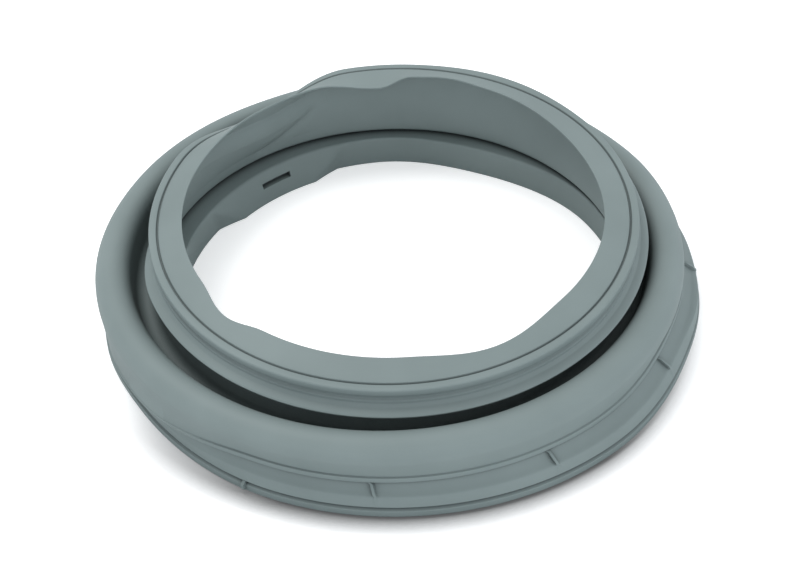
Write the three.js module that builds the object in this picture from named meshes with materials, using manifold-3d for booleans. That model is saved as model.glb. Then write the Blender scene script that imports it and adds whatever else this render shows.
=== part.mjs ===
// Door seal of a front-loading washing machine: one moulded ring of soft grey rubber.
// It lies on its tub side. Millimetres, +Z up, the origin on the floor at the centre of the
// tub ring, the front of the picture towards -Y. Azimuths are degrees, anticlockwise from +X.
import * as THREE from 'three';
import { mergeVertices } from 'three/addons/utils/BufferGeometryUtils.js';
import Module from 'manifold-3d';

// Tub ring: a flange with a grip lip, a shallow channel for the clamp and a ridge above it on the
// outside, an open recess for the tub's rim underneath, and an inner wall towards the drum
const flangeRadius = 196;
const flangeHeight = 8;
const gripLipProud = 0.6;
const gripNotchDepth = 2.4;
const gripNotchHeight = 1.6;
const edgeSlope = 1;
const channelRimInset = 2.8;
const channelRimRise = 6;
const channelRimRound = 2.5;
const channelWidth = 6.3;
const channelSag = 0.5;
const ridgeProud = 1.6;
const ridgeRise = 7.6;
const ridgeThickness = 3.4;
const ridgeStep = 1.2;
const tubWallThickness = 6.3;
const recessWidth = 31.2;
const recessDepth = 17.5;
const membraneThickness = 4;
const innerWallThickness = 3.4;
const ledgeRound = 1.4;

// Fold: the hollow convolution between the tub ring and the neck, over a narrow slit
const rubberThickness = 2.6;
const slitHeight = 1.6;
const crestInset = 9;
const crestRound = 11.5;
const crestWrap = 10;
const foldPitch = 19.2;
const foldRise = 25.3;
const valleyRound = 5.8;
const footRound = 3;

// Door ring: neck, lip with a groove line round its face, bead, neck band, rim ridge and skirt
const neckInset = 11.3;
const grooveOffset = 2.6;
const grooveWidth = 1.8;
const grooveDepth = 1.3;
const lipWidth = 16.6;
const lipRise = 5.4;
const lipThickness = 1.6;
const beadWidth = 5.6;
const beadThickness = 4.2;
const beadOverhang = 1.8;
const beadRound = 1.2;
const bandHeight = 4.8;
const rimRidgeProud = 1.4;
const rimRidgeFace = 1.8;
const skirtReach = 7;
const skirtFall = 6.2;
const skirtWaistReach = 1.8;
const skirtWaistFall = 4;
const skirtTipInset = 1;
const skirtTipRise = 0.8;
const skirtAboveCrest = 4.4;
const skirtThickness = 1.5;

// How the soft ring lies: the fold leans to the left and the door ring rises towards the back
const foldShift = { x: -7, y: 0 };
const doorShift = { x: -3.2, y: 1.4 };
const doorRise = 0.04;

// Dents and leans of the tub ring, with the channel's bulging rim: azimuth, half-width on each
// side of it, then the travel at the middle. A lean is the travel for each unit of height.
const tubDents = [
  { at: 212, before: 20, after: 34, depth: 2.9 },
  { at: 336, before: 26, after: 18, depth: 2.4 },
];
const tubLeans = [
  { at: 10, before: 20, after: 30, lean: 0.35 },
  { at: 208, before: 24, after: 34, lean: 0.46 },
  { at: 224, before: 18, after: 20, lean: 0.22 },
  { at: 334, before: 26, after: 18, lean: -0.1 },
];
const rimBulges = [{ at: 350, before: 14, after: 16, out: 1.9 }];
const innerWallDents = [{ at: 64, before: 38, after: 32, depth: 5.5 }];
const foldDents = [
  { at: 118, before: 36, after: 34, depth: 5 },
  { at: 150, before: 30, after: 36, depth: 2.6 },
  { at: 42, before: 24, after: 30, depth: 2.4 },
];

// The bead is spread a little at the back right
const beadSpreads = [{ at: 60, before: 26, after: 24, out: 1.6 }];

// The skirt is tucked in under the bead at the left
const skirtTuck = { at: 168, before: 32, after: 32 };
const skirtTuckIn = 7;
const skirtTuckDown = 4;

// The buckle at the back left: there the rim is pressed down and the lip stands steep
const buckle = { at: 126, before: 25, after: 31 };
const buckleInset = 3;
const buckleDrop = 10;
const buckleRoll = 35;

// Waves of the lip's free edge: outward and upward travel
const lipWaves = [
  { at: 26, before: 45, after: 36, out: -3.2, up: 0 },
  { at: 72, before: 12, after: 12, out: 1.5, up: 0.5 },
  { at: 93, before: 10, after: 20, out: -3.6, up: -6.2 },
  { at: 222, before: 14, after: 12, out: 4.5, up: -1.5 },
  { at: 294, before: 22, after: 24, out: 5, up: -1 },
];

// Pad on the inner wall, thickest at the floor, with a blind slot in its face
const padAt = 128;
const padHalfAngle = 24;
const padEndSkew = 3;
const padEndAngle = 11;
const padDepth = 8;
const slotAt = 127;
const slotHeight = 12;
const slotLength = 24;
const slotWidth = 3.6;
const slotDepth = 4.6;

// Ribs across the channel, evenly set with one place left bare, and the small tab on the grip lip
const ribPlaces = 11;
const bareRibPlace = 7;
const firstRibAt = 359.3;
const ribSpacing = 33.1;
const ribThickness = 2.6;
const ribSetBack = 0.2;
const ribProud = 0.6;
const ribTipRise = 2;
const ribTipRound = 1.2;
const tabAt = 240;
const tabThickness = 2;
const tabReach = 2;
const tabBottom = 2.8;
const tabHeight = 5;

// Fineness of the mesh
const azimuthSteps = 78;
const chordSag = 0.45;
const wallRows = 2;
const channelRows = 2;
const neckRows = 2;
const closest = 0.05;

const rubberColour = 0x7c8887;

// Radii and heights that follow from the sizes above, from the outside in and from the floor up
const gripRadius = flangeRadius + gripLipProud;
const channelRimRadius = flangeRadius - channelRimInset;
const channelRimHeight = flangeHeight + channelRimRise;
const channelWallRadius = channelRimRadius - channelWidth;
const ridgeRadius = channelWallRadius + ridgeProud;
const ridgeBottom = channelRimHeight + ridgeRise;
const ridgeTop = ridgeBottom + ridgeThickness;
const recessRadius = channelWallRadius - tubWallThickness;
const innerWallBack = recessRadius - recessWidth;
const innerWallRadius = innerWallBack - innerWallThickness;
const membraneTop = recessDepth + membraneThickness;
const crestRadius = ridgeRadius - crestInset;
const valleyRadius = crestRadius - foldPitch;
const valleyMiddle = membraneTop + slitHeight + rubberThickness + valleyRound;
const crestMiddle = valleyMiddle - valleyRound + foldRise - crestRound;
const neckRadius = valleyRadius - neckInset;
const neckOutside = neckRadius + rubberThickness;
const grooveRadius = neckRadius + grooveOffset;
const lipEdgeRadius = grooveRadius - lipWidth;
const beadRadius = grooveRadius + beadWidth;
const bandRadius = beadRadius - beadOverhang;
const rimRidgeRadius = bandRadius + rimRidgeProud;
const skirtRadius = rimRidgeRadius + skirtReach;
const skirtHeight = crestMiddle + crestRound + skirtAboveCrest;
const neckShoulder = skirtHeight - 2 * skirtThickness;
const rimRidgeHeight = skirtHeight + skirtFall;
const beadBottom = rimRidgeHeight + bandHeight;
const grooveHeight = beadBottom + beadThickness;

// Zones along the sheet of rubber, from the tub ring to the lip's free edge
const TUB = 0;
const RIDGE = 0.6;
const FOLD = 1;
const RIM = 2;
const EDGE = 3;

const fullTurn = 360;
const halfTurn = fullTurn / 2;
const quarterTurn = fullTurn / 4;
const { degToRad, radToDeg, lerp, smoothstep, euclideanModulo, clamp } = THREE.MathUtils;

// How far an azimuth lies past another, from minus to plus half a turn
function turned(azimuth, at) {
  return euclideanModulo(azimuth - at + halfTurn, fullTurn) - halfTurn;
}

// A smooth hump of height 1 at an azimuth, falling to 0 on both sides of it
function hump(azimuth, { at, before, after }) {
  const away = turned(azimuth, at);
  const reach = away < 0 ? before : after;
  return Math.abs(away) < reach ? 0.5 + 0.5 * Math.cos(Math.PI * away / reach) : 0;
}

function sumOfHumps(azimuth, humps, travel) {
  return humps.reduce((sum, one) => sum + hump(azimuth, one) * one[travel], 0);
}

// How far the pad stands in from the inner wall: the least of three slopes
function padInset(azimuth, height) {
  const fall = 1 - height / membraneTop;
  const fromEnd = padHalfAngle - Math.abs(turned(azimuth, padAt)) - padEndSkew * fall;
  return padDepth * clamp(Math.min(fall, fromEnd / (padEndAngle - padEndSkew)), 0, 1);
}

// The radius that a point of the tub ring or the fold takes at an azimuth
function lowRadius({ r, z, zone, part }, azimuth) {
  if (part === 'face' || part === 'back') {
    const dented = r - sumOfHumps(azimuth, innerWallDents, 'depth');
    return part === 'face' ? dented - padInset(azimuth, z) : dented;
  }
  const outer = smoothstep(r, innerWallBack, recessRadius);
  const leaning = Math.max(0, z - flangeHeight) * (1 - smoothstep(zone, RIDGE, FOLD));
  const folded = smoothstep(zone, RIDGE, FOLD) * smoothstep(r, valleyRadius, crestRadius);
  return r
    + outer * leaning * sumOfHumps(azimuth, tubLeans, 'lean')
    - outer * clamp(1 - zone, 0, 1) * sumOfHumps(azimuth, tubDents, 'depth')
    - folded * sumOfHumps(azimuth, foldDents, 'depth')
    + (part === 'rim' ? sumOfHumps(azimuth, rimBulges, 'out') : 0);
}

// The radius and height that a point of the door ring takes at an azimuth
function rimPlace({ r, z, zone, part }, azimuth) {
  const tucked = part === 'skirt' ? hump(azimuth, skirtTuck) * smoothstep(r, bandRadius, skirtRadius) : 0;
  const pressed = hump(azimuth, buckle);
  const roll = degToRad(buckleRoll) * pressed * smoothstep(z, skirtHeight, beadBottom);
  const spread = part === 'bead' ? sumOfHumps(azimuth, beadSpreads, 'out') : 0;
  const across = r - neckRadius - skirtTuckIn * tucked + spread;
  const above = z - beadBottom - skirtTuckDown * tucked;
  const wave = clamp(zone - RIM, 0, 1);
  const rimR = neckRadius - buckleInset * pressed + across * Math.cos(roll) + above * Math.sin(roll)
    + wave * sumOfHumps(azimuth, lipWaves, 'out');
  const rimZ = beadBottom - buckleDrop * pressed - across * Math.sin(roll) + above * Math.cos(roll)
    + wave * sumOfHumps(azimuth, lipWaves, 'up');
  return { r: rimR, z: rimZ + doorRise * rimR * Math.sin(degToRad(azimuth)) };
}

// Where a point of the plain section goes at an azimuth
function place(point, azimuth) {
  const toFold = clamp(point.zone - TUB, 0, 1);
  const toRim = clamp(point.zone - FOLD, 0, 1);
  const rim = rimPlace(point, azimuth);
  const r = lerp(lowRadius(point, azimuth), rim.r, toRim);
  const turn = degToRad(azimuth);
  const x = lerp(foldShift.x * toFold, doorShift.x, toRim);
  const y = lerp(foldShift.y * toFold, doorShift.y, toRim);
  return [r * Math.cos(turn) + x, r * Math.sin(turn) + y, lerp(point.z, rim.z, toRim)];
}

// The section is a chain of corners, each rounded by its own radius
function corner(r, z, zone, round = 0, part = null) {
  return { r, z, zone, round, part };
}

// Points spread evenly over a straight run, its first end left out
function run(from, to, rows) {
  return Array.from({ length: rows }, (_, i) => {
    const mix = (key) => lerp(from[key], to[key], (i + 1) / rows);
    return corner(mix('r'), mix('z'), mix('zone'), 0, to.part);
  });
}

// Points along an arc, from one angle to another in degrees
function arc(centreR, centreZ, radius, from, to, zone) {
  const widestStep = 2 * Math.acos(Math.max(0, 1 - chordSag / radius));
  const steps = Math.max(1, Math.round(degToRad(Math.abs(to - from)) / widestStep));
  return Array.from({ length: steps + 1 }, (_, i) => {
    const angle = degToRad(lerp(from, to, i / steps));
    return corner(centreR + radius * Math.cos(angle), centreZ + radius * Math.sin(angle), zone);
  });
}

// The part of the tub ring's lean to the left that reaches a height
function tubZone(z) {
  return RIDGE * clamp((z - channelRimHeight) / (ridgeTop - channelRimHeight), 0, 1);
}

// The part of the door ring's travel that reaches a height of the neck
function neckZone(z) {
  return FOLD + clamp((z - valleyMiddle) / (neckShoulder - valleyMiddle), 0, 1);
}

// The neck's wall from the valley up to the skirt, its outside or its inside
function neckWall(offset) {
  return Array.from({ length: neckRows + 1 }, (_, i) => {
    const z = lerp(valleyMiddle, neckShoulder, i / neckRows);
    return corner(lerp(valleyRadius - valleyRound, neckOutside, i / neckRows) - offset, z, neckZone(z));
  });
}

function doorRingOutside() {
  const groove = grooveWidth / 2;
  return [
    corner(lipEdgeRadius, grooveHeight + lipRise, EDGE),
    corner(grooveRadius - groove, grooveHeight, RIM),
    corner(grooveRadius, grooveHeight - grooveDepth, RIM),
    corner(grooveRadius + groove, grooveHeight, RIM),
    corner(beadRadius, grooveHeight, RIM, beadRound, 'bead'),
    corner(beadRadius, beadBottom, RIM, 0, 'bead'),
    corner(bandRadius, beadBottom - edgeSlope, RIM),
    corner(bandRadius, rimRidgeHeight + edgeSlope, RIM, 0, 'skirt'),
    corner(rimRidgeRadius, rimRidgeHeight, RIM, 0, 'skirt'),
    corner(rimRidgeRadius, rimRidgeHeight - rimRidgeFace, RIM, 0, 'skirt'),
    corner(rimRidgeRadius + skirtWaistReach, rimRidgeHeight - skirtWaistFall, RIM, 0, 'skirt'),
    corner(skirtRadius - skirtTipInset, skirtHeight + skirtTipRise, RIM, 0, 'skirt'),
    corner(skirtRadius, skirtHeight, RIM, 0, 'skirt'),
    corner(skirtRadius - skirtThickness / 3, skirtHeight - skirtThickness, RIM, 0, 'skirt'),
    corner(neckOutside + edgeSlope, skirtHeight + edgeSlope, RIM, 0, 'skirt'),
  ];
}

function foldOutside() {
  return [
    ...neckWall(0).reverse(),
    ...arc(valleyRadius, valleyMiddle, valleyRound, halfTurn, fullTurn, FOLD).slice(1),
    ...arc(crestRadius, crestMiddle, crestRound, halfTurn, -crestWrap, FOLD),
    corner(ridgeRadius - ridgeStep, ridgeTop + edgeSlope / 2, RIDGE),
  ];
}

// The channel's hollow from under the ridge down to its rim
function channelHollow() {
  const across = channelRimRadius - channelWallRadius;
  const drop = ridgeBottom - edgeSlope - channelRimHeight;
  return Array.from({ length: channelRows }, (_, i) => {
    const share = i / channelRows;
    const sag = 4 * share * (1 - share) * channelSag / Math.hypot(across, drop);
    const z = channelRimHeight + drop * (1 - share) - sag * across;
    return corner(channelWallRadius + across * share - sag * drop, z, tubZone(z));
  });
}

function tubRingOutside() {
  const notchBottom = flangeHeight - gripNotchHeight;
  return [
    corner(ridgeRadius, ridgeTop, RIDGE),
    corner(ridgeRadius, ridgeBottom, RIDGE),
    ...channelHollow(),
    corner(channelRimRadius, channelRimHeight, TUB, channelRimRound, 'rim'),
    corner(flangeRadius, flangeHeight, TUB),
    corner(flangeRadius - gripNotchDepth, notchBottom, TUB),
    corner(gripRadius, notchBottom - edgeSlope, TUB),
    corner(gripRadius, edgeSlope, TUB),
    corner(gripRadius - edgeSlope, 0, TUB),
  ];
}

function tubRingInside() {
  const wallBottom = corner(innerWallRadius, 0, TUB, 0, 'face');
  const wallTop = corner(innerWallRadius, membraneTop - ledgeRound, TUB, 0, 'face');
  return [
    corner(recessRadius, 0, TUB),
    corner(recessRadius, recessDepth, tubZone(recessDepth)),
    corner(innerWallBack, recessDepth, TUB, 0, 'back'),
    corner(innerWallBack, 0, TUB, 0, 'back'),
    wallBottom,
    ...run(wallBottom, wallTop, wallRows),
    corner(innerWallRadius + ledgeRound, membraneTop, TUB, 0, 'back'),
    corner(recessRadius, membraneTop, tubZone(membraneTop)),
  ];
}

function foldInside() {
  const reach = valleyRound + rubberThickness;
  return [
    corner(ridgeRadius - ridgeStep - rubberThickness, ridgeTop + edgeSlope / 2, RIDGE),
    ...arc(crestRadius, crestMiddle, crestRound - rubberThickness, -crestWrap, halfTurn, FOLD),
    ...arc(valleyRadius, valleyMiddle, reach, fullTurn, fullTurn - quarterTurn, FOLD),
    corner(valleyRadius - reach, valleyMiddle - reach, FOLD, footRound),
  ];
}

function neckInside() {
  return [
    ...neckWall(rubberThickness),
    corner(neckRadius, rimRidgeHeight, RIM),
    corner(neckRadius, beadBottom + edgeSlope, RIM),
    corner(lipEdgeRadius + lipThickness / 3, grooveHeight + lipRise - lipThickness, EDGE),
  ];
}

// Replaces each rounded corner by an arc that is tangent to both of its sides
function roundCorners(chain) {
  return chain.flatMap((here, i) => {
    if (here.round === 0) return [here];
    const before = chain[(i + chain.length - 1) % chain.length];
    const after = chain[(i + 1) % chain.length];
    const tip = new THREE.Vector2(here.r, here.z);
    const back = new THREE.Vector2(before.r, before.z).sub(tip).normalize();
    const ahead = new THREE.Vector2(after.r, after.z).sub(tip).normalize();
    const halfAngle = Math.acos(clamp(back.dot(ahead), -1, 1)) / 2;
    const middle = back.clone().add(ahead).normalize();
    const centre = tip.clone().addScaledVector(middle, here.round / Math.sin(halfAngle));
    const reach = here.round / Math.tan(halfAngle);
    const angleAt = (side) => radToDeg(tip.clone().addScaledVector(side, reach).sub(centre).angle());
    const from = angleAt(back);
    const to = from + turned(angleAt(ahead), from);
    return arc(centre.x, centre.y, here.round, from, to, here.zone).map((point) => (
      { ...point, part: here.part }
    ));
  });
}

function section() {
  const outline = roundCorners([
    ...doorRingOutside(),
    ...foldOutside(),
    ...tubRingOutside(),
    ...tubRingInside(),
    ...foldInside(),
    ...neckInside(),
  ]);
  return outline.filter((point, i) => {
    const last = outline[(i + outline.length - 1) % outline.length];
    return Math.hypot(point.r - last.r, point.z - last.z) > closest;
  });
}

// Carries the section once round the ring and closes it on itself
function ringGeometry() {
  const outline = section();
  const count = outline.length;
  const positions = [];
  const faces = [];
  for (let step = 0; step < azimuthSteps; step += 1) {
    const azimuth = fullTurn * step / azimuthSteps;
    outline.forEach((point) => positions.push(...place(point, azimuth)));
    for (let i = 0; i < count; i += 1) {
      const next = (i + 1) % count;
      const here = step * count;
      const there = ((step + 1) % azimuthSteps) * count;
      faces.push(here + i, there + next, there + i);
      faces.push(here + i, here + next, there + next);
    }
  }
  const geometry = new THREE.BufferGeometry();
  geometry.setAttribute('position', new THREE.Float32BufferAttribute(positions, 3));
  geometry.setIndex(faces);
  return geometry;
}

// A plate with an outline in radius and height, set across the ring and laid as the ring lies
function plate(outline, at, thickness) {
  const geometry = new THREE.ExtrudeGeometry(outline, { depth: thickness, bevelEnabled: false });
  const positions = geometry.attributes.position;
  for (let i = 0; i < positions.count; i += 1) {
    const r = positions.getX(i);
    const z = positions.getY(i);
    const aside = radToDeg((thickness / 2 - positions.getZ(i)) / r);
    positions.setXYZ(i, ...place(corner(r, z, tubZone(z)), at + aside));
  }
  return geometry;
}

function ribs() {
  const root = channelWallRadius - channelSag - edgeSlope;
  const sunk = channelRimHeight - ribTipRise;
  const tip = channelRimRadius + ribProud;
  const tipTop = channelRimHeight + ribTipRise;
  const ridgeMiddle = (ridgeBottom + ridgeTop) / 2;
  const outline = new THREE.Shape();
  outline.moveTo(root, sunk);
  outline.lineTo(channelRimRadius - ribTipRound, sunk);
  outline.lineTo(tip, channelRimHeight - ribProud);
  outline.lineTo(tip, tipTop - ribTipRound);
  outline.lineTo(tip - ribTipRound, tipTop);
  outline.lineTo(ridgeRadius - ribSetBack, ridgeBottom);
  outline.lineTo(ridgeRadius - ribSetBack, ridgeMiddle);
  outline.lineTo(root, ridgeMiddle);
  const azimuths = Array.from({ length: ribPlaces }, (_, i) => firstRibAt + ribSpacing * i)
    .filter((_, i) => i !== bareRibPlace);
  return azimuths.map((azimuth) => plate(outline, azimuth, ribThickness));
}

function tab() {
  const outline = new THREE.Shape();
  const root = flangeRadius - gripNotchDepth - edgeSlope;
  outline.moveTo(root, tabBottom);
  outline.lineTo(gripRadius + tabReach, tabBottom);
  outline.lineTo(gripRadius + tabReach, tabBottom + tabHeight);
  outline.lineTo(root, tabBottom + tabHeight);
  return plate(outline, tabAt, tabThickness);
}

function slot() {
  const dent = sumOfHumps(slotAt, innerWallDents, 'depth');
  const faceRadius = innerWallRadius - dent - padInset(slotAt, slotHeight);
  const cutter = new THREE.BoxGeometry(padDepth + slotDepth, slotLength, slotWidth);
  cutter.translate(faceRadius + slotDepth - (padDepth + slotDepth) / 2, 0, slotHeight);
  return cutter.rotateZ(degToRad(slotAt));
}

const wasm = await Module();
wasm.setup();

function toSolid(geometry) {
  geometry.deleteAttribute('normal');
  geometry.deleteAttribute('uv');
  const merged = mergeVertices(geometry, 1e-4);
  return new wasm.Manifold(new wasm.Mesh({
    numProp: 3,
    vertProperties: new Float32Array(merged.attributes.position.array),
    triVerts: new Uint32Array(merged.index.array),
  }));
}

function toGeometry(solid) {
  const { vertProperties, triVerts } = solid.getMesh();
  const geometry = new THREE.BufferGeometry();
  geometry.setAttribute('position', new THREE.Float32BufferAttribute(vertProperties, 3));
  geometry.setIndex(Array.from(triVerts));
  geometry.computeVertexNormals();
  return geometry;
}

function doorSeal() {
  const withDetails = [...ribs(), tab()].reduce(
    (solid, detail) => solid.add(toSolid(detail)),
    toSolid(ringGeometry()),
  );
  const rubber = new THREE.MeshStandardMaterial({ color: rubberColour, roughness: 0.62, metalness: 0 });
  const mesh = new THREE.Mesh(toGeometry(withDetails.subtract(toSolid(slot()))), rubber);
  mesh.name = 'door_seal';
  return mesh;
}

const seal = new THREE.Group();
seal.add(doorSeal());

export default seal;
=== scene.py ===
# Door seal of a front-loading washing machine: the rubber ring, with its floor, light and camera.
# The ring is one closed mesh. A plain section is carried round the ring, and the way that the
# soft rubber lies is put in by moving each point of the section with the azimuth. Azimuths are
# degrees, anticlockwise from +X. The ring's sizes are named in millimetres and become metres when
# the mesh is made. The floor, the lights and the camera are placed in metres.
import math

import bpy
import numpy as np
from mathutils import Matrix, Vector


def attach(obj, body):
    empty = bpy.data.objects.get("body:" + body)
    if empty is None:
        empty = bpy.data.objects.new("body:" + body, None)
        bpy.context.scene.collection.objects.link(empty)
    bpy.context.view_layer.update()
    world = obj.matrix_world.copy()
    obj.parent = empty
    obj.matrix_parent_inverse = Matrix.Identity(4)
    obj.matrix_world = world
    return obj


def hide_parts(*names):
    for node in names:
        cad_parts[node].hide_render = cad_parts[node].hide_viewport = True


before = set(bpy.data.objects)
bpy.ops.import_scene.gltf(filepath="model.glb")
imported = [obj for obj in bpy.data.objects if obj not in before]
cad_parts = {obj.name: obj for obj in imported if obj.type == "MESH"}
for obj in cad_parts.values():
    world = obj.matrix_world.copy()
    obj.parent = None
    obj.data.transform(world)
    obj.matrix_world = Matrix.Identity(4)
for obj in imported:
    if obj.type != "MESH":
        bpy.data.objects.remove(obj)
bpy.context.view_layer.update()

MM = 0.001

# Tub ring: a flange with a grip lip, a shallow channel for the clamp and a ridge above it on the
# outside, an open recess for the tub's rim underneath, and an inner wall towards the drum
FLANGE_RADIUS = 196
FLANGE_HEIGHT = 8
GRIP_LIP_PROUD = 0.6
GRIP_NOTCH_DEPTH = 2.4
GRIP_NOTCH_HEIGHT = 1.6
EDGE_SLOPE = 1
CHANNEL_RIM_INSET = 2.8
CHANNEL_RIM_RISE = 6
CHANNEL_RIM_ROUND = 2.5
CHANNEL_WIDTH = 6.3
CHANNEL_SAG = 0.5
RIDGE_PROUD = 1.6
RIDGE_RISE = 7.6
RIDGE_THICKNESS = 3.4
RIDGE_STEP = 1.2
TUB_WALL_THICKNESS = 6.3
RECESS_WIDTH = 31.2
RECESS_DEPTH = 17.5
MEMBRANE_THICKNESS = 4
INNER_WALL_THICKNESS = 3.4
LEDGE_ROUND = 1.4

# Fold: the hollow convolution between the tub ring and the neck, over a narrow slit
RUBBER_THICKNESS = 2.6
SLIT_HEIGHT = 1.6
CREST_INSET = 9
CREST_ROUND = 11.5
CREST_WRAP = 10
FOLD_PITCH = 19.2
FOLD_RISE = 25.3
VALLEY_ROUND = 5.8
FOOT_ROUND = 3

# Door ring: neck, lip with a groove line round its face, bead, neck band, rim ridge and skirt
NECK_INSET = 11.3
GROOVE_OFFSET = 2.6
GROOVE_WIDTH = 1.8
GROOVE_DEPTH = 1.3
GROOVE_BOTTOM_WIDTH = 0.6
LIP_WIDTH = 16.6
LIP_RISE = 5.4
LIP_THICKNESS = 1.6
BEAD_WIDTH = 5.6
BEAD_THICKNESS = 4.2
BEAD_OVERHANG = 1.8
BEAD_ROUND = 1.2
BAND_HEIGHT = 4.8
RIM_RIDGE_PROUD = 1.4
RIM_RIDGE_FACE = 1.8
SKIRT_REACH = 7
SKIRT_FALL = 6.2
SKIRT_WAIST_REACH = 1.8
SKIRT_WAIST_FALL = 4
SKIRT_TIP_INSET = 1
SKIRT_TIP_RISE = 0.8
SKIRT_ABOVE_CREST = 4.4
SKIRT_THICKNESS = 1.5

# How the soft ring lies: the fold leans to the left and the door ring rises towards the back
FOLD_SHIFT = (-7, 0)
DOOR_SHIFT = (-3.2, 1.4)
DOOR_RISE = 0.04

# Humps round the ring: azimuth, half-width before and after it, then the travel at its middle.
# A lean is the travel for each unit of height.
TUB_DENTS = [(212, 20, 34, 2.9), (336, 26, 18, 2.4)]
TUB_LEANS = [(10, 20, 30, 0.35), (208, 24, 34, 0.46), (224, 18, 20, 0.22), (334, 26, 18, -0.1)]
RIM_BULGES = [(350, 14, 16, 1.9)]
INNER_WALL_DENTS = [(64, 38, 32, 5.5)]
FOLD_DENTS = [(118, 36, 34, 5), (150, 30, 36, 2.6), (42, 24, 30, 2.4)]
BEAD_SPREADS = [(60, 26, 24, 1.6)]
SKIRT_TUCK = (168, 32, 32, 1)
SKIRT_TUCK_IN = 7
SKIRT_TUCK_DOWN = 4
BUCKLE = (126, 25, 31, 1)
BUCKLE_INSET = 3
BUCKLE_DROP = 10
BUCKLE_ROLL = 35
LIP_WAVES_OUT = [
    (26, 45, 36, -3.2), (72, 12, 12, 1.5), (93, 10, 20, -3.6), (222, 14, 12, 4.5), (294, 22, 24, 5),
]
LIP_WAVES_UP = [(72, 12, 12, 0.5), (93, 10, 20, -6.2), (222, 14, 12, -1.5), (294, 22, 24, -1)]

# A slanting crease in the neck below the buckle: its azimuth at the fold's foot, the azimuth that
# it gains for each unit of height, its half-width in degrees and its depth
CREASE_AT = 127
CREASE_SLANT = -0.6
CREASE_HALF_WIDTH = 6
CREASE_DEPTH = 2.2

# Pad on the inner wall, thickest at the floor, with a blind slot in its face
PAD_AT = 128
PAD_HALF_ANGLE = 24
PAD_END_SKEW = 3
PAD_END_ANGLE = 11
PAD_DEPTH = 8
SLOT_AT = 127
SLOT_HEIGHT = 12
SLOT_LENGTH = 24
SLOT_WIDTH = 3.6
SLOT_DEPTH = 4.6
SLOT_EDGE = 0.15

# Ribs across the channel, evenly set with one place left bare, and the small tab on the grip lip
RIB_PLACES = 11
BARE_RIB_PLACE = 7
FIRST_RIB_AT = 359.3
RIB_SPACING = 33.1
RIB_THICKNESS = 2.6
RIB_SET_BACK = 0.2
RIB_PROUD = 0.6
RIB_TIP_RISE = 2
TAB_AT = 240
TAB_THICKNESS = 2
TAB_REACH = 2
TAB_BOTTOM = 2.8
TAB_HEIGHT = 5
SIDE_EDGE = 0.5

# Roundings of the section's corners, from the finest crease to the bend at the lip's root
CREASE_ROUND = 0.15
THIN_ROUND = 0.2
CRISP_ROUND = 0.3
EDGE_ROUND = 0.4
SOFT_ROUND = 0.5
GRIP_ROUND = 0.6
BAND_ROUND = 0.8
WAIST_ROUND = 1.4
INNER_ROUND = 1.5
BEND_ROUND = 2
LIP_ROOT_ROUND = 3

# Fineness of the mesh: rows of points on each form, steps round the ring as a whole and the least
# share of one, the sag of a chord, the closest that two points lie, half the angle at a corner
# that counts as straight, the rounding from which an arc may reach past the middle of its sides,
# and the angle from which an edge shows sharp
AZIMUTH_STEPS = 360
LEAST_STEP = 0.35
NECK_ROWS = 14
CHANNEL_ROWS = 5
GRIP_ROWS = 5
LIP_TOP_ROWS = 8
LIP_UNDER_ROWS = 6
FACE_HEIGHTS = [0.5, 3, 6, 8.5, 16, 18.5]
CHORD_SAG = 0.04
CLOSEST = 0.04
STRAIGHT_HALF_ANGLE = 88.5
LONG_REACH_ROUND = 3
SHARP_ANGLE = 32

# Looks of the rubber: screen colours from 0 to 255, the scales of its mottling and its grain, and
# its painted shade in hollows: the share of its colour that is left for each share of open
# surroundings, far and near
RUBBER_DARKER = (118, 130, 129)
RUBBER_LIGHTER = (126, 138, 137)
RUBBER_PAINTED_SHADE = (24, 30, 30)
MOTTLE_SCALE = 14
MOTTLE_DETAIL = 3
MOTTLE_RANGE = (0.3, 0.7)
GRAIN_SCALE = 900
GRAIN_DETAIL = 2
GRAIN_STRENGTH = 0.08
GRAIN_HEIGHT = 0.0003
ROUGHNESS = (0.52, 0.64)
SHEEN_LEVEL = 0.35
FAR_SHADE_REACH = 0.03
FAR_SHADE_SHARES = [(0.1, 0.28), (0.4, 0.72), (0.7, 0.92), (0.95, 1)]
NEAR_SHADE_REACH = 0.005
NEAR_SHADE_SHARES = [(0.2, 0.42), (0.6, 0.74), (0.92, 1)]
RUBBER_SAMPLES = 8

# Floor: its colours, its own light to the camera, and the seal's painted contact shadow, which
# gains weight with the way from the ring's middle in one direction
FLOOR_SIZE = 12
FLOOR_WHITE = (246, 246, 246)
FLOOR_IN_SHADOW = (96, 96, 96)
FLOOR_GLOW = 0.5
SHADOW_REACH = 0.036
SHADOW_SAMPLES = 16
SHADOW_OPENNESS = (0.62, 0.94)
SHADOW_TOWARDS = (0.13, -0.99, 0)
SHADOW_FROM_MIDDLE = (0.06, 0.17)
SHADOW_WEIGHTS = (0.1, 1)

# Lights: a soft disk above, and a surround that is brighter on one side and pale round the horizon
KEY_PLACE = (-0.65, 0.4, 1.75)
KEY_SIZE = 0.9
KEY_POWER = 15.5
SURROUND_TOWARDS = (0.7, -0.7, 0)
SURROUND_STRENGTHS = (0.95, 1.8)
PALE = (0.9, 0.95, 1)
MIDDLE_GREY = (0.5, 0.52, 0.54)
TOP_GREY = (0.5, 0.5, 0.5)
SURROUND_STEPS = [(0, PALE), (0.4, PALE), (0.55, MIDDLE_GREY), (0.8, MIDDLE_GREY), (0.9, TOP_GREY)]

# The photograph's view, measured in its own frame of 800 by 582 pixels
FRAME_WIDTH = 800
FOCAL_PIXELS = 1797
FRAME_CENTRE = (400, 291)
RING_CENTRE_PIXEL = (401.5, 294.5)
VIEW_DISTANCE = 1.2
VIEW_ELEVATION = 41.6
VIEW_ROLL = -2.2
SENSOR_WIDTH = 36

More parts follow.
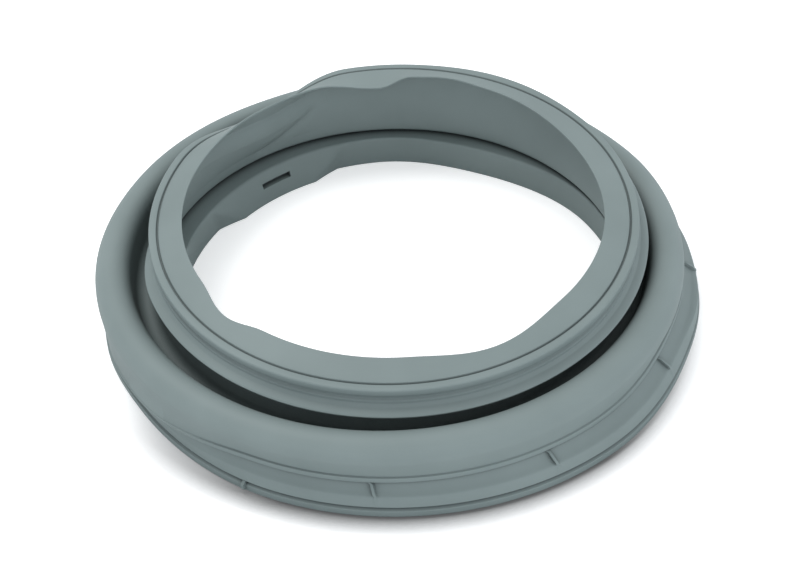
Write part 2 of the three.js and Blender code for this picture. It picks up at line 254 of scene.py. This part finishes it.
# Radii and heights that follow from the sizes above, from the outside in and from the floor up
GRIP_RADIUS = FLANGE_RADIUS + GRIP_LIP_PROUD
CHANNEL_RIM_RADIUS = FLANGE_RADIUS - CHANNEL_RIM_INSET
CHANNEL_RIM_HEIGHT = FLANGE_HEIGHT + CHANNEL_RIM_RISE
CHANNEL_WALL_RADIUS = CHANNEL_RIM_RADIUS - CHANNEL_WIDTH
RIDGE_RADIUS = CHANNEL_WALL_RADIUS + RIDGE_PROUD
RIDGE_BOTTOM = CHANNEL_RIM_HEIGHT + RIDGE_RISE
RIDGE_TOP = RIDGE_BOTTOM + RIDGE_THICKNESS
RECESS_RADIUS = CHANNEL_WALL_RADIUS - TUB_WALL_THICKNESS
INNER_WALL_BACK = RECESS_RADIUS - RECESS_WIDTH
INNER_WALL_RADIUS = INNER_WALL_BACK - INNER_WALL_THICKNESS
MEMBRANE_TOP = RECESS_DEPTH + MEMBRANE_THICKNESS
CREST_RADIUS = RIDGE_RADIUS - CREST_INSET
VALLEY_RADIUS = CREST_RADIUS - FOLD_PITCH
VALLEY_MIDDLE = MEMBRANE_TOP + SLIT_HEIGHT + RUBBER_THICKNESS + VALLEY_ROUND
CREST_MIDDLE = VALLEY_MIDDLE - VALLEY_ROUND + FOLD_RISE - CREST_ROUND
NECK_RADIUS = VALLEY_RADIUS - NECK_INSET
NECK_OUTSIDE = NECK_RADIUS + RUBBER_THICKNESS
GROOVE_RADIUS = NECK_RADIUS + GROOVE_OFFSET
LIP_EDGE_RADIUS = GROOVE_RADIUS - LIP_WIDTH
BEAD_RADIUS = GROOVE_RADIUS + BEAD_WIDTH
BAND_RADIUS = BEAD_RADIUS - BEAD_OVERHANG
RIM_RIDGE_RADIUS = BAND_RADIUS + RIM_RIDGE_PROUD
SKIRT_RADIUS = RIM_RIDGE_RADIUS + SKIRT_REACH
SKIRT_HEIGHT = CREST_MIDDLE + CREST_ROUND + SKIRT_ABOVE_CREST
NECK_SHOULDER = SKIRT_HEIGHT - 2 * SKIRT_THICKNESS
RIM_RIDGE_HEIGHT = SKIRT_HEIGHT + SKIRT_FALL
BEAD_BOTTOM = RIM_RIDGE_HEIGHT + BAND_HEIGHT
GROOVE_HEIGHT = BEAD_BOTTOM + BEAD_THICKNESS

# Zones along the sheet of rubber, from the tub ring to the lip's free edge
TUB, RIDGE, FOLD, RIM, EDGE = 0, 0.6, 1, 2, 3


def smooth(value, low, high):
    """0 below low, 1 above high, and an easy curve between them."""
    t = np.clip((value - low) / (high - low), 0, 1)
    return t * t * (3 - 2 * t)


def turned(azimuth, at):
    """How far an azimuth lies past another, from -180 to 180 degrees."""
    return (azimuth - at + 180) % 360 - 180


def humps(azimuth, rows):
    """The sum of smooth humps round the ring."""
    total = np.zeros_like(azimuth, dtype=float)
    for at, before, after, travel in rows:
        away = turned(azimuth, at)
        reach = np.where(away < 0, before, after)
        rise = 0.5 + 0.5 * np.cos(np.pi * np.clip(np.abs(away) / reach, 0, 1))
        total += travel * rise
    return total


def plateau(distance, half_width, edge):
    """1 within half_width, falling to 0 over the edge outside it."""
    return np.clip((half_width + edge - np.abs(distance)) / edge, 0, 1)


def pad_inset(azimuth, height):
    """How far the pad stands in from the inner wall: the least of three slopes."""
    fall = 1 - height / MEMBRANE_TOP
    away = np.abs(turned(azimuth, PAD_AT))
    from_end = (PAD_HALF_ANGLE - away - PAD_END_SKEW * fall) / (PAD_END_ANGLE - PAD_END_SKEW)
    return PAD_DEPTH * np.clip(np.minimum(fall, from_end), 0, 1)


def slot_depth(azimuth, height):
    along = np.radians(turned(azimuth, SLOT_AT)) * INNER_WALL_RADIUS
    across = height - SLOT_HEIGHT
    long_way = plateau(along, SLOT_LENGTH / 2, SLOT_EDGE)
    return SLOT_DEPTH * long_way * plateau(across, SLOT_WIDTH / 2, SLOT_EDGE)


def rib_azimuths():
    return [FIRST_RIB_AT + RIB_SPACING * i for i in range(RIB_PLACES) if i != BARE_RIB_PLACE]


def rib_share(azimuth):
    """1 in the thickness of a rib and 0 beside it."""
    share = np.zeros_like(azimuth, dtype=float)
    for at in rib_azimuths():
        away = np.radians(turned(azimuth, at)) * CHANNEL_RIM_RADIUS
        share = np.maximum(share, plateau(away, RIB_THICKNESS / 2 - SIDE_EDGE, SIDE_EDGE))
    return share


def rib_edge(z):
    """The radius of a rib's outer edge at a height, from under the ridge down to the rim."""
    top = RIDGE_RADIUS - RIB_SET_BACK
    along = (RIDGE_BOTTOM - z) / (RIDGE_BOTTOM - CHANNEL_RIM_HEIGHT - RIB_TIP_RISE)
    return top + (CHANNEL_RIM_RADIUS + RIB_PROUD - top) * np.clip(along, 0, 1)


def neck_crease(azimuth, z):
    """How far the slanting crease pushes the neck outwards."""
    middle = CREASE_AT + CREASE_SLANT * (z - VALLEY_MIDDLE + VALLEY_ROUND)
    nearness = np.clip(1 - np.abs(turned(azimuth, middle)) / CREASE_HALF_WIDTH, 0, 1)
    return CREASE_DEPTH * nearness ** 2 * (1 - smooth(z, RIM_RIDGE_HEIGHT, BEAD_BOTTOM))


def tab_share(azimuth, z):
    """1 in the tab and 0 beside, above and below it."""
    away = np.radians(turned(azimuth, TAB_AT)) * FLANGE_RADIUS
    upright = plateau(z - TAB_BOTTOM - TAB_HEIGHT / 2, TAB_HEIGHT / 2, SIDE_EDGE)
    return upright * plateau(away, TAB_THICKNESS / 2, SIDE_EDGE)


def corner(r, z, zone, rounding, part=""):
    """One corner of the section: radius, height, zone, rounding and the form that it is on."""
    return {"r": r, "z": z, "zone": zone, "round": rounding, "part": part}


def run(start, end, rows):
    """Points spread evenly over a straight run, its first end left out."""
    shares = [(i + 1) / rows for i in range(rows)]
    return [
        corner(*(start[k] + (end[k] - start[k]) * s for k in ("r", "z", "zone")), 0, end["part"])
        for s in shares
    ]


def arc(centre_r, centre_z, radius, start, end, zone):
    """Points along an arc, from one angle to another in degrees."""
    widest = 2 * math.acos(1 - CHORD_SAG / radius)
    steps = max(1, round(math.radians(abs(end - start)) / widest))
    turns = [math.radians(start + (end - start) * i / steps) for i in range(steps + 1)]
    return [
        corner(centre_r + radius * math.cos(t), centre_z + radius * math.sin(t), zone, 0)
        for t in turns
    ]


def tub_zone(z):
    """The part of the tub ring's lean to the left that reaches a height."""
    return RIDGE * min(max((z - CHANNEL_RIM_HEIGHT) / (RIDGE_TOP - CHANNEL_RIM_HEIGHT), 0), 1)


def neck_zone(z):
    """The part of the door ring's travel that reaches a height of the neck."""
    return FOLD + min(max((z - VALLEY_MIDDLE) / (NECK_SHOULDER - VALLEY_MIDDLE), 0), 1)


def neck_wall(offset):
    """The neck's wall from the valley up to the skirt, its outside or its inside."""
    points = []
    for i in range(NECK_ROWS + 1):
        share = i / NECK_ROWS
        z = VALLEY_MIDDLE + (NECK_SHOULDER - VALLEY_MIDDLE) * share
        r = VALLEY_RADIUS - VALLEY_ROUND + (NECK_OUTSIDE - VALLEY_RADIUS + VALLEY_ROUND) * share
        points.append(corner(r - offset, z, neck_zone(z), 0, "neck"))
    return points


def door_ring_outside():
    half = GROOVE_WIDTH / 2
    bottom_half = GROOVE_BOTTOM_WIDTH / 2
    groove_bottom = GROOVE_HEIGHT - GROOVE_DEPTH
    under_skirt = SKIRT_HEIGHT - SKIRT_THICKNESS
    lip_edge = corner(LIP_EDGE_RADIUS, GROOVE_HEIGHT + LIP_RISE, EDGE, SOFT_ROUND)
    groove_start = corner(GROOVE_RADIUS - half, GROOVE_HEIGHT, RIM, THIN_ROUND)
    waist = (RIM_RIDGE_RADIUS + SKIRT_WAIST_REACH, RIM_RIDGE_HEIGHT - SKIRT_WAIST_FALL)
    skirt_tip = (SKIRT_RADIUS - SKIRT_TIP_INSET, SKIRT_HEIGHT + SKIRT_TIP_RISE)
    return [
        lip_edge,
        *run(lip_edge, groove_start, LIP_TOP_ROWS)[:-1],
        groove_start,
        corner(GROOVE_RADIUS - bottom_half, groove_bottom, RIM, CREASE_ROUND),
        corner(GROOVE_RADIUS + bottom_half, groove_bottom, RIM, CREASE_ROUND),
        corner(GROOVE_RADIUS + half, GROOVE_HEIGHT, RIM, THIN_ROUND),
        corner(BEAD_RADIUS, GROOVE_HEIGHT, RIM, BEAD_ROUND, "bead"),
        corner(BEAD_RADIUS, BEAD_BOTTOM, RIM, CRISP_ROUND, "bead"),
        corner(BAND_RADIUS, BEAD_BOTTOM - EDGE_SLOPE, RIM, BAND_ROUND),
        corner(BAND_RADIUS, RIM_RIDGE_HEIGHT + EDGE_SLOPE, RIM, BAND_ROUND, "skirt"),
        corner(RIM_RIDGE_RADIUS, RIM_RIDGE_HEIGHT, RIM, SOFT_ROUND, "skirt"),
        corner(RIM_RIDGE_RADIUS, RIM_RIDGE_HEIGHT - RIM_RIDGE_FACE, RIM, CRISP_ROUND, "skirt"),
        corner(*waist, RIM, WAIST_ROUND, "skirt"),
        corner(*skirt_tip, RIM, THIN_ROUND, "skirt"),
        corner(SKIRT_RADIUS, SKIRT_HEIGHT, RIM, EDGE_ROUND, "skirt"),
        corner(SKIRT_RADIUS - SKIRT_THICKNESS / 3, under_skirt, RIM, EDGE_ROUND, "skirt"),
        corner(NECK_OUTSIDE + EDGE_SLOPE, SKIRT_HEIGHT + EDGE_SLOPE, RIM, INNER_ROUND, "skirt"),
    ]


def fold_outside():
    return [
        *neck_wall(0)[::-1],
        *arc(VALLEY_RADIUS, VALLEY_MIDDLE, VALLEY_ROUND, 180, 360, FOLD)[1:],
        *arc(CREST_RADIUS, CREST_MIDDLE, CREST_ROUND, 180, -CREST_WRAP, FOLD),
        corner(RIDGE_RADIUS - RIDGE_STEP, RIDGE_TOP + EDGE_SLOPE / 2, RIDGE, CRISP_ROUND),
    ]


def channel_hollow():
    """The channel's hollow from under the ridge down to its rim."""
    across = CHANNEL_RIM_RADIUS - CHANNEL_WALL_RADIUS
    drop = RIDGE_BOTTOM - EDGE_SLOPE - CHANNEL_RIM_HEIGHT
    points = []
    for i in range(CHANNEL_ROWS):
        share = i / CHANNEL_ROWS
        sag = 4 * share * (1 - share) * CHANNEL_SAG / math.hypot(across, drop)
        r = CHANNEL_WALL_RADIUS + across * share - sag * drop
        z = CHANNEL_RIM_HEIGHT + drop * (1 - share) - sag * across
        points.append(corner(r, z, tub_zone(z), 0, "channel"))
    return points


def tub_ring_outside():
    notch_bottom = FLANGE_HEIGHT - GRIP_NOTCH_HEIGHT
    grip_top = corner(GRIP_RADIUS, notch_bottom - EDGE_SLOPE, TUB, EDGE_ROUND, "grip")
    grip_bottom = corner(GRIP_RADIUS, EDGE_SLOPE, TUB, GRIP_ROUND, "grip")
    return [
        corner(RIDGE_RADIUS, RIDGE_TOP, RIDGE, SOFT_ROUND),
        corner(RIDGE_RADIUS, RIDGE_BOTTOM, RIDGE, GRIP_ROUND),
        *channel_hollow(),
        corner(CHANNEL_RIM_RADIUS, CHANNEL_RIM_HEIGHT, TUB, CHANNEL_RIM_ROUND, "rim"),
        corner(FLANGE_RADIUS, FLANGE_HEIGHT, TUB, EDGE_ROUND),
        corner(FLANGE_RADIUS - GRIP_NOTCH_DEPTH, notch_bottom, TUB, CRISP_ROUND, "grip"),
        grip_top,
        *run(grip_top, grip_bottom, GRIP_ROWS)[:-1],
        grip_bottom,
        corner(GRIP_RADIUS - EDGE_SLOPE, 0, TUB, EDGE_ROUND),
    ]


def tub_ring_inside():
    slot_half = SLOT_WIDTH / 2
    heights = [*FACE_HEIGHTS, SLOT_HEIGHT]
    for side in (-1, 1):
        edge = SLOT_HEIGHT + side * slot_half
        rows = [edge - SLOT_EDGE / 2, edge, edge + SLOT_EDGE]
        heights += rows if side > 0 else [edge - SLOT_EDGE, edge, edge + SLOT_EDGE / 2]
    wall = [corner(INNER_WALL_RADIUS, z, TUB, 0, "face") for z in sorted(heights)]
    return [
        corner(RECESS_RADIUS, 0, TUB, SOFT_ROUND),
        corner(RECESS_RADIUS, RECESS_DEPTH, tub_zone(RECESS_DEPTH), INNER_ROUND),
        corner(INNER_WALL_BACK, RECESS_DEPTH, TUB, INNER_ROUND, "back"),
        corner(INNER_WALL_BACK, 0, TUB, EDGE_ROUND, "back"),
        corner(INNER_WALL_RADIUS, 0, TUB, CRISP_ROUND, "face"),
        *wall,
        corner(INNER_WALL_RADIUS, MEMBRANE_TOP, TUB, LEDGE_ROUND, "face"),
        corner(RECESS_RADIUS, MEMBRANE_TOP, tub_zone(MEMBRANE_TOP), BEND_ROUND),
    ]


def fold_inside():
    thick = RUBBER_THICKNESS
    reach = VALLEY_ROUND + thick
    return [
        corner(RIDGE_RADIUS - RIDGE_STEP - thick, RIDGE_TOP + EDGE_SLOPE / 2, RIDGE, BEND_ROUND),
        *arc(CREST_RADIUS, CREST_MIDDLE, CREST_ROUND - thick, -CREST_WRAP, 180, FOLD),
        *arc(VALLEY_RADIUS, VALLEY_MIDDLE, reach, 360, 270, FOLD),
        corner(VALLEY_RADIUS - reach, VALLEY_MIDDLE - reach, FOLD, FOOT_ROUND),
    ]


def neck_inside():
    lip_root = corner(NECK_RADIUS, BEAD_BOTTOM + EDGE_SLOPE, RIM, LIP_ROOT_ROUND)
    under_lip = GROOVE_HEIGHT + LIP_RISE - LIP_THICKNESS
    lip_end = corner(LIP_EDGE_RADIUS + LIP_THICKNESS / 3, under_lip, EDGE, SOFT_ROUND)
    return [
        *neck_wall(RUBBER_THICKNESS),
        corner(NECK_RADIUS, RIM_RIDGE_HEIGHT - EDGE_SLOPE, RIM, 0, "neck"),
        lip_root,
        *run(lip_root, lip_end, LIP_UNDER_ROWS)[:-1],
        lip_end,
    ]


def round_corners(chain):
    """Replaces each rounded corner by an arc that is tangent to both of its sides."""
    points = []
    count = len(chain)
    for i, here in enumerate(chain):
        tip = np.array([here["r"], here["z"]])
        sides = []
        for other in (chain[i - 1], chain[(i + 1) % count]):
            away = np.array([other["r"], other["z"]]) - tip
            sides.append((away / np.linalg.norm(away), np.linalg.norm(away)))
        (back, back_length), (ahead, ahead_length) = sides
        half_angle = math.acos(float(np.clip(back @ ahead, -1, 1))) / 2
        if here["round"] <= 0 or half_angle > math.radians(STRAIGHT_HALF_ANGLE):
            points.append({**here})
            continue
        longest = 0.5 * min(back_length, ahead_length)
        if here["round"] >= LONG_REACH_ROUND:
            longest = 2 * back_length
        reach = min(here["round"] / math.tan(half_angle), longest)
        radius = reach * math.tan(half_angle)
        middle = (back + ahead) / np.linalg.norm(back + ahead)
        centre = tip + middle * radius / math.sin(half_angle)
        first, last = tip + back * reach - centre, tip + ahead * reach - centre
        start = math.atan2(first[1], first[0])
        sweep = (math.atan2(last[1], last[0]) - start + math.pi) % (2 * math.pi) - math.pi
        widest = 2 * math.acos(max(0.0, 1 - CHORD_SAG / radius))
        steps = max(2, round(abs(sweep) / widest))
        for step in range(steps + 1):
            angle = start + sweep * step / steps
            r, z = centre + radius * np.array([math.cos(angle), math.sin(angle)])
            points.append({**here, "r": float(r), "z": float(z)})
    return points


def section():
    chain = [
        *door_ring_outside(),
        *fold_outside(),
        *tub_ring_outside(),
        *tub_ring_inside(),
        *fold_inside(),
        *neck_inside(),
    ]
    points = round_corners(chain)
    return [
        p for i, p in enumerate(points)
        if math.hypot(p["r"] - points[i - 1]["r"], p["z"] - points[i - 1]["z"]) > CLOSEST
    ]


def azimuths():
    """Even steps round the ring, with close ones at the sides of the ribs, tab and slot."""
    even = list(np.arange(AZIMUTH_STEPS) * 360 / AZIMUTH_STEPS)
    close = []

    def sides(at, half_width, edge, radius):
        for side in (-1, 1):
            for offset in (half_width, half_width + edge):
                close.append((at + side * math.degrees(offset / radius)) % 360)

    for at in rib_azimuths():
        sides(at, RIB_THICKNESS / 2 - SIDE_EDGE, SIDE_EDGE, CHANNEL_RIM_RADIUS)
    sides(TAB_AT, TAB_THICKNESS / 2, SIDE_EDGE, FLANGE_RADIUS)
    sides(SLOT_AT, SLOT_LENGTH / 2, SLOT_EDGE, INNER_WALL_RADIUS)
    gap = LEAST_STEP * 360 / AZIMUTH_STEPS
    kept = [a for a in even if min(abs(turned(a, b)) for b in close) > gap]
    return np.array(sorted(kept + close))


def place(points, azimuth):
    """Where the points of the plain section go at each azimuth, in millimetres."""
    r = np.array([p["r"] for p in points])[None, :]
    z = np.array([p["z"] for p in points])[None, :]
    zone = np.array([p["zone"] for p in points])[None, :]
    part = np.array([p["part"] for p in points])[None, :]
    a = azimuth[:, None]
    turn = np.radians(a)

    outer = smooth(r, INNER_WALL_BACK, RECESS_RADIUS)
    ribbed = np.isin(part, ("channel", "rim")) & (z > CHANNEL_RIM_HEIGHT - RIB_PROUD)
    r = r + rib_share(a) * ribbed * np.maximum(rib_edge(z) - r, 0)
    r = r + tab_share(a, z) * (part == "grip") * (GRIP_RADIUS + TAB_REACH - r)
    r = r + neck_crease(a, z) * (part == "neck")
    ridge_to_fold = smooth(zone, RIDGE, FOLD)
    low_r = r - humps(a, INNER_WALL_DENTS) * np.isin(part, ("face", "back"))
    low_r = low_r - (pad_inset(a, z) - slot_depth(a, z)) * (part == "face")
    leaning = outer * np.maximum(z - FLANGE_HEIGHT, 0) * (1 - ridge_to_fold)
    low_r = low_r + leaning * humps(a, TUB_LEANS) * ~np.isin(part, ("face", "back"))
    low_r = low_r - outer * np.clip(1 - zone, 0, 1) * humps(a, TUB_DENTS)
    low_r = low_r - ridge_to_fold * smooth(r, VALLEY_RADIUS, CREST_RADIUS) * humps(a, FOLD_DENTS)
    low_r = low_r + humps(a, RIM_BULGES) * (part == "rim")

    tucked = humps(a, [SKIRT_TUCK]) * smooth(r, BAND_RADIUS, SKIRT_RADIUS) * (part == "skirt")
    pressed = humps(a, [BUCKLE])
    roll = math.radians(BUCKLE_ROLL) * pressed * smooth(z, SKIRT_HEIGHT, BEAD_BOTTOM)
    spread = humps(a, BEAD_SPREADS) * (part == "bead")
    across = r - NECK_RADIUS - SKIRT_TUCK_IN * tucked + spread
    above = z - BEAD_BOTTOM - SKIRT_TUCK_DOWN * tucked
    wave = np.clip(zone - RIM, 0, 1)
    rim_r = NECK_RADIUS - BUCKLE_INSET * pressed + across * np.cos(roll) + above * np.sin(roll)
    rim_r = rim_r + wave * humps(a, LIP_WAVES_OUT)
    rim_z = BEAD_BOTTOM - BUCKLE_DROP * pressed - across * np.sin(roll) + above * np.cos(roll)
    rim_z = rim_z + wave * humps(a, LIP_WAVES_UP) + DOOR_RISE * rim_r * np.sin(turn)

    to_fold = np.clip(zone - TUB, 0, 1)
    to_rim = np.clip(zone - FOLD, 0, 1)
    placed_r = low_r + (rim_r - low_r) * to_rim
    placed_z = z + (rim_z - z) * to_rim
    shift = [
        fold * to_fold * (1 - to_rim) + door * to_rim
        for fold, door in zip(FOLD_SHIFT, DOOR_SHIFT)
    ]
    x = placed_r * np.cos(turn) + shift[0]
    y = placed_r * np.sin(turn) + shift[1]
    return np.stack([x, y, placed_z + 0 * x], axis=-1)


def ring_mesh(name):
    """Carries the section once round the ring and closes it on itself."""
    points = section()
    around = azimuths()
    vertices = place(points, around) * MM
    rows, count = vertices.shape[:2]
    here = np.arange(rows)[:, None] * count
    there = (np.arange(1, rows + 1)[:, None] % rows) * count
    i = np.arange(count)[None, :]
    after = (i + 1) % count
    faces = np.stack([here + i, here + after, there + after, there + i], axis=-1).reshape(-1, 4)
    mesh = bpy.data.meshes.new(name)
    mesh.from_pydata(vertices.reshape(-1, 3).tolist(), [], faces.tolist())
    mesh.polygons.foreach_set("use_smooth", np.ones(len(faces), bool))
    mesh.update()
    mesh.set_sharp_from_angle(angle=math.radians(SHARP_ANGLE))
    return mesh


def linear(*channels):
    """A colour as it looks on a screen, from 0 to 255, as Blender's linear colour."""
    shares = [c / 255 for c in channels]
    return [s / 12.92 if s <= 0.04045 else ((s + 0.055) / 1.055) ** 2.4 for s in shares] + [1]


def set_ramp(node, steps):
    """Gives a colour ramp its steps, each a position and a linear colour."""
    elements = node.color_ramp.elements
    elements.remove(elements[1])
    for i, (position, colour) in enumerate(steps):
        element = elements[0] if i == 0 else elements.new(position)
        element.position = position
        element.color = (*colour, 1)


class Nodes:
    """A short way to add and join the nodes of one material."""

    def __init__(self, material):
        material.use_nodes = True
        self.tree = material.node_tree
        self.tree.nodes.clear()

    def add(self, kind, values=None, **settings):
        node = self.tree.nodes.new(kind)
        for key, value in settings.items():
            setattr(node, key, value)
        for key, value in (values or {}).items():
            if isinstance(value, bpy.types.NodeSocket):
                self.tree.links.new(value, node.inputs[key])
            else:
                node.inputs[key].default_value = value
        return node


def along(nodes, vector, direction):
    """How far a vector reaches in a direction."""
    product = nodes.add(
        "ShaderNodeVectorMath", {0: vector, 1: direction}, operation="DOT_PRODUCT"
    )
    return product.outputs["Value"]


def mapped(nodes, value, source, target):
    """A value carried from one range to another and held within it."""
    carried = nodes.add("ShaderNodeMapRange", {
        "Value": value, "From Min": source[0], "From Max": source[1],
        "To Min": target[0], "To Max": target[1],
    })
    return carried.outputs["Result"]


def multiplied(nodes, first, second):
    product = nodes.add("ShaderNodeMath", {0: first, 1: second}, operation="MULTIPLY")
    return product.outputs["Value"]


def blended(nodes, share, first, second):
    """A colour between two others, the second one where the share is 1."""
    mix = nodes.add(
        "ShaderNodeMix", {"Factor": share, "A": first, "B": second}, data_type="RGBA"
    )
    return mix.outputs["Result"]


def left_by_painted_shade(nodes, distance, steps):
    """Painted shade: a share of colour, 1 on open faces and less in hollows of about a distance."""
    light = nodes.add(
        "ShaderNodeAmbientOcclusion", {"Distance": distance},
        only_local=True, samples=RUBBER_SAMPLES,
    )
    ramp = nodes.add("ShaderNodeValToRGB", {"Fac": light.outputs["AO"]})
    set_ramp(ramp, [(position, (share, share, share)) for position, share in steps])
    return ramp.outputs["Color"]


def rubber_material():
    """Matt moulded rubber: greenish grey, faintly mottled, fine grain, painted shade in its
    hollows.
    """
    material = bpy.data.materials.new("grey_rubber")
    nodes = Nodes(material)
    place_in = nodes.add("ShaderNodeTexCoord").outputs["Object"]
    mottle = nodes.add(
        "ShaderNodeTexNoise", {"Vector": place_in, "Scale": MOTTLE_SCALE, "Detail": MOTTLE_DETAIL}
    ).outputs["Fac"]
    fine = nodes.add(
        "ShaderNodeTexNoise", {"Vector": place_in, "Scale": GRAIN_SCALE, "Detail": GRAIN_DETAIL}
    ).outputs["Fac"]
    tint = nodes.add("ShaderNodeValToRGB", {"Fac": mottle})
    greys = [linear(*grey)[:3] for grey in (RUBBER_DARKER, RUBBER_LIGHTER)]
    set_ramp(tint, list(zip(MOTTLE_RANGE, greys)))
    # Painted shade: the colour darkens to a near-black grey in hollows and creases, far and near
    share = multiplied(
        nodes, left_by_painted_shade(nodes, FAR_SHADE_REACH, FAR_SHADE_SHARES), left_by_painted_shade(nodes, NEAR_SHADE_REACH, NEAR_SHADE_SHARES)
    )
    grain = nodes.add(
        "ShaderNodeBump", {"Height": fine, "Strength": GRAIN_STRENGTH, "Distance": GRAIN_HEIGHT}
    )
    shader = nodes.add("ShaderNodeBsdfPrincipled", {
        "Base Color": blended(nodes, share, linear(*RUBBER_PAINTED_SHADE), tint.outputs["Color"]),
        "Roughness": mapped(nodes, mottle, (0, 1), ROUGHNESS),
        "Normal": grain.outputs["Normal"],
        "Specular IOR Level": SHEEN_LEVEL,
    })
    nodes.add("ShaderNodeOutputMaterial", {"Surface": shader.outputs["BSDF"]})
    return material


def door_seal():
    seal = bpy.data.objects.new("door_seal_rubber", ring_mesh("door_seal_rubber"))
    bpy.context.scene.collection.objects.link(seal)
    seal.data.materials.append(rubber_material())
    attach(seal, "root")
    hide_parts("door_seal")
    return seal


def floor():
    """A pale floor, white to the camera, with the seal's cast shadow and a painted contact shadow.
    """
    material = bpy.data.materials.new("floor_white")
    nodes = Nodes(material)
    seen = nodes.add("ShaderNodeLightPath").outputs["Is Camera Ray"]
    # Painted shadow: the floor's colour greys near the seal, weighted towards one side of the ring
    close_by = nodes.add(
        "ShaderNodeAmbientOcclusion", {"Distance": SHADOW_REACH}, samples=SHADOW_SAMPLES
    ).outputs["AO"]
    place_in = nodes.add("ShaderNodeTexCoord").outputs["Object"]
    from_middle = along(nodes, place_in, SHADOW_TOWARDS)
    weight = mapped(nodes, from_middle, SHADOW_FROM_MIDDLE, SHADOW_WEIGHTS)
    shadow = multiplied(nodes, mapped(nodes, close_by, SHADOW_OPENNESS, (1, 0)), weight)
    tone = blended(nodes, shadow, linear(*FLOOR_WHITE), linear(*FLOOR_IN_SHADOW))
    matt = nodes.add("ShaderNodeBsdfDiffuse", {"Color": tone})
    glow = nodes.add("ShaderNodeEmission", {"Color": tone, "Strength": FLOOR_GLOW})
    lit = nodes.add("ShaderNodeAddShader")
    nodes.tree.links.new(matt.outputs["BSDF"], lit.inputs[0])
    nodes.tree.links.new(glow.outputs["Emission"], lit.inputs[1])
    mix = nodes.add("ShaderNodeMixShader", {"Fac": seen})
    nodes.tree.links.new(matt.outputs["BSDF"], mix.inputs[1])
    nodes.tree.links.new(lit.outputs["Shader"], mix.inputs[2])
    nodes.add("ShaderNodeOutputMaterial", {"Surface": mix.outputs["Shader"]})
    bpy.ops.mesh.primitive_plane_add(size=FLOOR_SIZE, location=(0, 0, 0))
    plane = bpy.context.object
    plane.name = "floor"
    plane.data.materials.append(material)


def key_light():
    """A soft round light above the ring, a little to the left and behind."""
    data = bpy.data.lights.new("key", "AREA")
    data.shape = "DISK"
    data.size = KEY_SIZE
    data.energy = KEY_POWER
    light = bpy.data.objects.new("key", data)
    bpy.context.scene.collection.objects.link(light)
    light.location = KEY_PLACE
    light.rotation_euler = (-Vector(KEY_PLACE)).to_track_quat("-Z", "Y").to_euler()


def surround():
    """Pale light low round the horizon, greyer above, and stronger from the front right."""
    world = bpy.data.worlds.new("soft_white")
    bpy.context.scene.world = world
    nodes = Nodes(world)
    towards = nodes.add("ShaderNodeTexCoord").outputs["Generated"]
    height = nodes.add("ShaderNodeSeparateXYZ", {"Vector": towards}).outputs["Z"]
    ramp = nodes.add("ShaderNodeValToRGB", {"Fac": height})
    set_ramp(ramp, SURROUND_STEPS)
    side = along(nodes, towards, SURROUND_TOWARDS)
    back = nodes.add("ShaderNodeBackground", {
        "Color": ramp.outputs["Color"],
        "Strength": mapped(nodes, side, (-1, 1), SURROUND_STRENGTHS),
    })
    nodes.add("ShaderNodeOutputWorld", {"Surface": back.outputs["Background"]})


def camera():
    """The photograph's view, aimed so that the ring's centre lands on its own pixel."""
    data = bpy.data.cameras.new("camera")
    data.sensor_fit = "HORIZONTAL"
    data.sensor_width = SENSOR_WIDTH
    data.lens = SENSOR_WIDTH * FOCAL_PIXELS / FRAME_WIDTH
    eye = bpy.data.objects.new("camera", data)
    bpy.context.scene.collection.objects.link(eye)
    elevation = math.radians(VIEW_ELEVATION)
    roll = math.radians(VIEW_ROLL)
    ahead = Vector((0, math.cos(elevation), -math.sin(elevation)))
    right = Vector((1, 0, 0))
    up = right.cross(ahead)
    right_rolled = math.cos(roll) * right + math.sin(roll) * up
    up_rolled = -math.sin(roll) * right + math.cos(roll) * up
    across = (RING_CENTRE_PIXEL[0] - FRAME_CENTRE[0]) / FOCAL_PIXELS
    down = (RING_CENTRE_PIXEL[1] - FRAME_CENTRE[1]) / FOCAL_PIXELS
    towards = (across * right_rolled - down * up_rolled + ahead).normalized()
    turn = Matrix((right_rolled, up_rolled, -ahead)).transposed().to_4x4()
    eye.matrix_world = Matrix.Translation(-VIEW_DISTANCE * towards) @ turn
    bpy.context.scene.camera = eye


bpy.context.scene.view_settings.view_transform = "Standard"
camera()
door_seal()
floor()
key_light()
surround()
